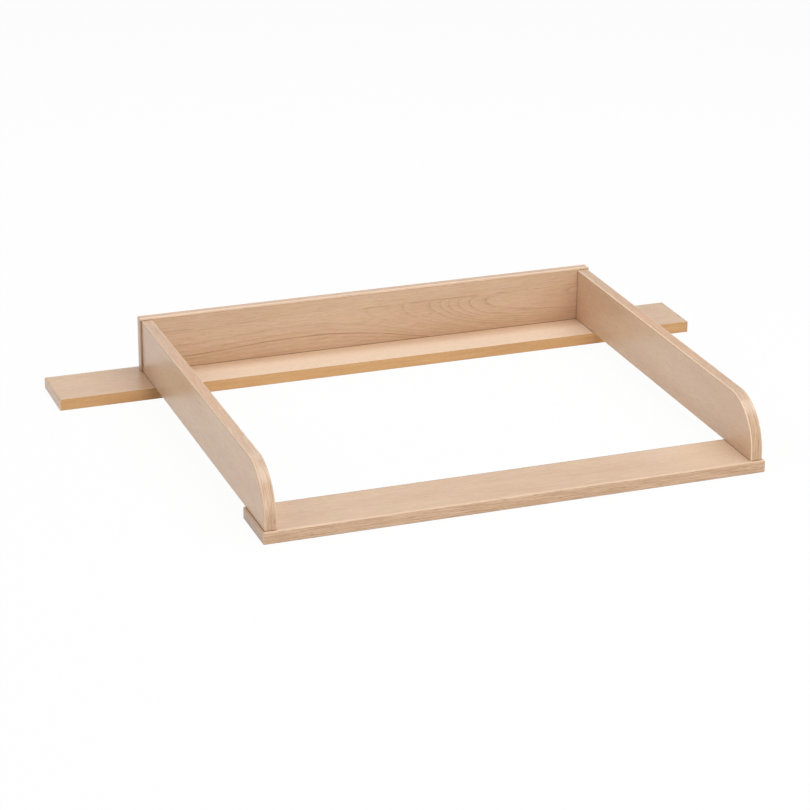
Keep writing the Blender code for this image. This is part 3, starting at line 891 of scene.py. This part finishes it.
# The rows run up from the socket's bottom, out over the head, and along to the point
screw_rows = [(2.9 * MM, 0.1 * MM), (2.5 * MM, hexagon(SOCKET_WIDTH)),
              (0.2 * MM, hexagon(SOCKET_WIDTH)), (0.0, hexagon(SOCKET_WIDTH + 0.4 * MM)),
              (0.0, HEAD_RADIUS - 0.15 * MM), (0.12 * MM, HEAD_RADIUS), (0.5 * MM, HEAD_RADIUS),
              (HEAD_HEIGHT, SHANK_RADIUS), (COLLAR_END - 0.2 * MM, SHANK_RADIUS),
              (COLLAR_END, CORE_RADIUS)]
thread_rows = round((POINT_START - COLLAR_END) / PITCH * ROWS_PER_TURN)
screw_rows += [(height, thread(height)) for height in
               (COLLAR_END + (POINT_START - COLLAR_END) * row / thread_rows
                for row in range(1, thread_rows + 1))]
screw_rows += [(SCREW_LENGTH - 1 * MM, 1.2 * MM), (SCREW_LENGTH, 0.5 * MM)]

screw_mesh = bmesh.new()
add_turned(screw_mesh, screw_rows, SCREW_STEPS)
screw_data = smooth_mesh("connecting_screw", screw_mesh, [zinc])


def fluted(angle):
    """A dowel's radius: the flutes let the glue and the air out of the hole."""
    return DOWEL_RADIUS - FLUTE_DEPTH * max(0.0, math.cos(FLUTES * angle)) ** 3


dowel_mesh = bmesh.new()
add_turned(dowel_mesh, [(0.0, DOWEL_END_RADIUS), (CHAMFER, fluted),
                        (DOWEL_LENGTH - CHAMFER, fluted), (DOWEL_LENGTH, DOWEL_END_RADIUS)],
           DOWEL_STEPS)
dowel_data = smooth_mesh("fluted_dowel", dowel_mesh, [beech])
print("screw:", len(screw_data.polygons), "faces; dowel:", len(dowel_data.polygons), "faces")

# %% [markdown]
# ## Every fastener in its hole
#
# The solids say where each fastener is. One that goes in from behind lies along Y, with its head
# at the back. All the others stand upright, with the head below.

# %% Place the fasteners
FROM_BEHIND = "back_"
fastener_places = {}
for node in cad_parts:
    if "screw" in node or "dowel" in node:
        low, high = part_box(node)
        middle = (low + high) / 2
        if node.startswith(FROM_BEHIND):
            place = (Matrix.Translation((middle.x, high.y, middle.z))
                     @ Matrix.Rotation(math.pi / 2, 4, 'X'))
        else:
            place = Matrix.Translation((middle.x, middle.y, low.z))
        fastener_places[node] = place
        if "screw" in node:
            add_piece(node, screw_data, place)
        else:
            add_piece(node, dowel_data, place)
print(len(fastener_places), "fasteners")

# %% [markdown]
# ## The boards
#
# A board is a block with its edges broken by a third of a millimetre, as a saw and a stroke of
# sandpaper leave them, and with a hole for each fastener. It fills the room between its bands up
# to the glue line, a tenth of a millimetre, so that only a hairline shows where the two meet.
# The holes are cut with a boolean modifier, and its result is taken as the piece's plain mesh.

# %% Cut and drill a board
EDGE_BREAK = 0.35 * MM
BREAK_STEPS = 2
GLUE_LINE = 0.12 * MM
FACE_TOLERANCE = 0.01 * MM     # tells the wide faces from the broken edges beside them
HOLE_STEPS = 24
HOLE_GAP = 0.3 * MM
HOLE_OVERRUN = 2 * MM
SCREW_HOLE = [(-HOLE_OVERRUN, HEAD_RADIUS + HOLE_GAP), (0.5 * MM, HEAD_RADIUS + HOLE_GAP),
              (HEAD_HEIGHT, SHANK_RADIUS + HOLE_GAP),
              (SCREW_LENGTH + 1 * MM, SHANK_RADIUS + HOLE_GAP)]
DOWEL_HOLE = [(-1 * MM, DOWEL_RADIUS + HOLE_GAP), (DOWEL_LENGTH + 1 * MM, DOWEL_RADIUS + HOLE_GAP)]


def block(low, high):
    """A box between two corners."""
    mesh = bmesh.new()
    bmesh.ops.create_cube(mesh, size=1)
    bmesh.ops.scale(mesh, vec=high - low, verts=mesh.verts)
    bmesh.ops.translate(mesh, vec=(low + high) / 2, verts=mesh.verts)
    return mesh


def round_edges(mesh, edges, radius, steps):
    """Rounds the edges, each with so many steps."""
    bmesh.ops.bevel(mesh, geom=edges, offset=radius, offset_type='OFFSET', segments=steps,
                    profile=0.5, affect='EDGES')


def drilled(mesh, low, high):
    """The mesh with a hole for each fastener that reaches into the box from low to high."""
    drills = bmesh.new()
    for node, place in fastener_places.items():
        lowest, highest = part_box(node)
        if all(lowest[axis] < high[axis] and highest[axis] > low[axis] for axis in (0, 1, 2)):
            add_turned(drills, SCREW_HOLE if "screw" in node else DOWEL_HOLE, HOLE_STEPS, place)
    board = bpy.data.objects.new("board", smooth_mesh("board", mesh, []))
    drill = bpy.data.objects.new("drill", smooth_mesh("drill", drills, []))
    for thing in (board, drill):
        bpy.context.scene.collection.objects.link(thing)
    cut = board.modifiers.new("holes", 'BOOLEAN')
    cut.operation = 'DIFFERENCE'
    cut.solver = 'EXACT'
    cut.object = drill
    result = bmesh.new()
    result.from_object(board, bpy.context.evaluated_depsgraph_get())
    for thing in (board, drill):
        bpy.data.meshes.remove(thing.data)
    return result


def add_board(node, mesh, low, high, grain_axis, face_axis, shown):
    """Drills the board, gives its wide faces the foil and its bare edges the fibreboard."""
    mesh = drilled(mesh, low, high)
    for face in mesh.faces:
        middle = face.calc_center_median()[face_axis]
        on_face = min(middle - low[face_axis], high[face_axis] - middle) < FACE_TOLERANCE
        face.material_index = 0 if on_face else 1
    for layer in list(mesh.loops.layers.uv.values()):
        mesh.loops.layers.uv.remove(layer)
    lay_grain(mesh, grain_axis, shown)
    data = smooth_mesh(node + "_dressed", mesh, [FOILS[node], fibreboard])
    return add_piece(node, data)


print("holes clear what they hold by", round(HOLE_GAP / MM, 1), "mm all round")

# %% [markdown]
# ## Front board, rail and back panel
#
# These three are plain blocks. Each grows from its solid up to the inner faces of its bands.

# %% Make the three plain boards
PLAIN_BOARDS = {
    # name: (its bands, the axis through its thickness, the side that people see)
    "front_board": (("front", "rear", "left", "right"), 2, (2, 1)),
    "rear_rail": (("left", "right"), 2, (2, 1)),
    "back_panel": (("top", "left", "right"), 1, (1, -1)),
}

for node, (bands, face_axis, shown) in PLAIN_BOARDS.items():
    low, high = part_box(node)
    for band in bands:
        band_low, band_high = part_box(f"{node}_band_{band}")
        for axis in (0, 1, 2):
            if band_high[axis] <= low[axis]:
                low[axis] = band_high[axis] + GLUE_LINE
            if band_low[axis] >= high[axis]:
                high[axis] = band_low[axis] - GLUE_LINE
    mesh = block(low, high)
    round_edges(mesh, mesh.edges[:], EDGE_BREAK, BREAK_STEPS)
    board = add_board(node, mesh, low, high, 0, face_axis, shown)
    print(node, [round(length / MM, 1) for length in high - low], "mm,",
          len(board.data.polygons), "faces")

# %% [markdown]
# ## The side panels
#
# A side panel stands on edge and has a large rounded corner at the front. Its outline runs over
# the top, round the corner and down the front. The same outline, drawn further out, serves for
# the band that covers it, so the two fit whatever the radius is.

# %% Make the side panels
CORNER_RADIUS = 80 * MM
BAND_THICKNESS = 2 * MM
CORNER_STEPS = 48


def side_outline(low, high, inset):
    """Points (y, z) from the rear top corner round to the front foot, drawn in by inset."""
    centre_y, centre_z = low.y + CORNER_RADIUS, high.z - CORNER_RADIUS
    radius = CORNER_RADIUS - inset
    points = [(high.y, high.z - inset)]
    for step in range(CORNER_STEPS + 1):
        angle = math.pi / 2 * (1 + step / CORNER_STEPS)
        points.append((centre_y + radius * math.cos(angle), centre_z + radius * math.sin(angle)))
    return points + [(low.y + inset, low.z)]


def slab(outline, left, right):
    """Extrudes an outline of (y, z) points. Returns the mesh and its left and right points."""
    mesh = bmesh.new()
    rows = [[mesh.verts.new((x, y, z)) for y, z in outline] for x in (left, right)]
    for row in rows:
        mesh.faces.new(row)
    for here in range(len(outline)):
        mesh.faces.new((rows[0][here - 1], rows[0][here], rows[1][here], rows[1][here - 1]))
    bmesh.ops.recalc_face_normals(mesh, faces=mesh.faces)
    return mesh, rows


for side in ("left", "right"):
    node = f"side_panel_{side}"
    low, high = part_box(f"side_panel_band_{side}")
    outline = side_outline(low, high, BAND_THICKNESS + GLUE_LINE) + [(high.y, low.z)]
    mesh = slab(outline, low.x, high.x)[0]
    sharp = [edge for edge in mesh.edges if edge.calc_face_angle() > SHARP_ANGLE]
    round_edges(mesh, sharp, EDGE_BREAK, BREAK_STEPS)
    board = add_board(node, mesh, low, high, 1, 0, None)
    print(node, [round(length / MM, 1) for length in high - low], "mm,",
          len(board.data.polygons), "faces")

# %% [markdown]
# ## The edge bands
#
# A band is a strip with its two outer arrises rounded. Where it meets a board or another band it
# stays square. The cutter leaves the print on the outer face and on the outermost part of the
# arrises, and the rest is plain. Each band is cut from another metre of its roll.

# %% Make the straight bands
ARRIS_RADIUS = 1.6 * MM
ARRIS_STEPS = 6
PRINT_LEFT = 0.6               # print is left where the normal points at least so far outward

STRAIGHT_BANDS = {
    # name: (the axis along it, the axis and sign of its outer face, the other mating sides)
    "front_board_band_front": (0, (1, -1), []),
    "front_board_band_rear": (0, (1, 1), []),
    "front_board_band_left": (1, (0, -1), [(1, -1), (1, 1)]),
    "front_board_band_right": (1, (0, 1), [(1, -1), (1, 1)]),
    "rear_rail_band_left": (1, (0, -1), [(1, -1), (1, 1)]),
    "rear_rail_band_right": (1, (0, 1), [(1, -1), (1, 1)]),
    "back_panel_band_top": (0, (2, 1), []),
    "back_panel_band_left": (2, (0, -1), [(2, -1), (2, 1)]),
    "back_panel_band_right": (2, (0, 1), [(2, -1), (2, 1)]),
}

for number, (node, (grain_axis, (axis, sign), mating)) in enumerate(STRAIGHT_BANDS.items()):
    low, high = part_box(node)
    middle = (low + high) / 2
    mesh = block(low, high)
    square = [(axis, -sign)] + mating
    free = [edge for edge in mesh.edges
            if not any(all((vertex.co[a] - middle[a]) * s > 0 for vertex in edge.verts)
                       for a, s in square)]
    round_edges(mesh, free, ARRIS_RADIUS, ARRIS_STEPS)
    lay_grain(mesh, grain_axis)
    layer = mesh.loops.layers.uv["grain"]
    for face in mesh.faces:
        face.material_index = 0 if face.normal[axis] * sign > PRINT_LEFT else 1
        for loop in face.loops:
            loop[layer].uv.x += number
    finishes = [BAND_ROLLS.get(node, plain_roll), CUTS.get(node, plain_cut)]
    add_piece(node, smooth_mesh(node + "_dressed", mesh, finishes))
print(len(STRAIGHT_BANDS), "straight bands")

# %% [markdown]
# ## The bent bands
#
# The side panel's band is bent over the corner while it is warm, so its grain follows the bend.
# Here U is the length that the strip has run from its rear end: straight over the top, then
# along the arc, then straight down.

# %% Make the bent bands
PRINT_ASIDE = 0.031            # how far the print is moved across the band
CUT_FROM = 0.1                 # the plastic is plain where the normal points so far sideways


def run_along(point, low, high):
    """How far along the band a point lies, from the rear end."""
    centre_y, centre_z = low.y + CORNER_RADIUS, high.z - CORNER_RADIUS
    if point.y >= centre_y:
        return high.y - point.y
    top = high.y - centre_y
    if point.z <= centre_z:
        return top + math.pi / 2 * CORNER_RADIUS + centre_z - point.z
    return top + math.atan2(centre_y - point.y, point.z - centre_z) * CORNER_RADIUS


for side in ("left", "right"):
    node = f"side_panel_band_{side}"
    low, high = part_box(node)
    outer = side_outline(low, high, 0.0)
    inner = side_outline(low, high, BAND_THICKNESS)
    mesh, rows = slab(outer + inner[::-1], low.x, high.x)
    arrises = [mesh.edges.get((row[step], row[step + 1]))
               for row in rows for step in range(len(outer) - 1)]
    round_edges(mesh, arrises, ARRIS_RADIUS, ARRIS_STEPS)
    layer = mesh.loops.layers.uv.new("grain")
    for face in mesh.faces:
        face.material_index = 0 if abs(face.normal.x) < CUT_FROM else 1
        for loop in face.loops:
            loop[layer].uv = (run_along(loop.vert.co, low, high) + BENT_START,
                              loop.vert.co.x + PRINT_ASIDE)
    finishes = [BAND_ROLLS.get(node, plain_roll), CUTS.get(node, plain_cut)]
    add_piece(node, smooth_mesh(node + "_dressed", mesh, finishes))
    print(node, "runs", round(run_along(Vector((0, low.y, low.z)), low, high) / MM), "mm")
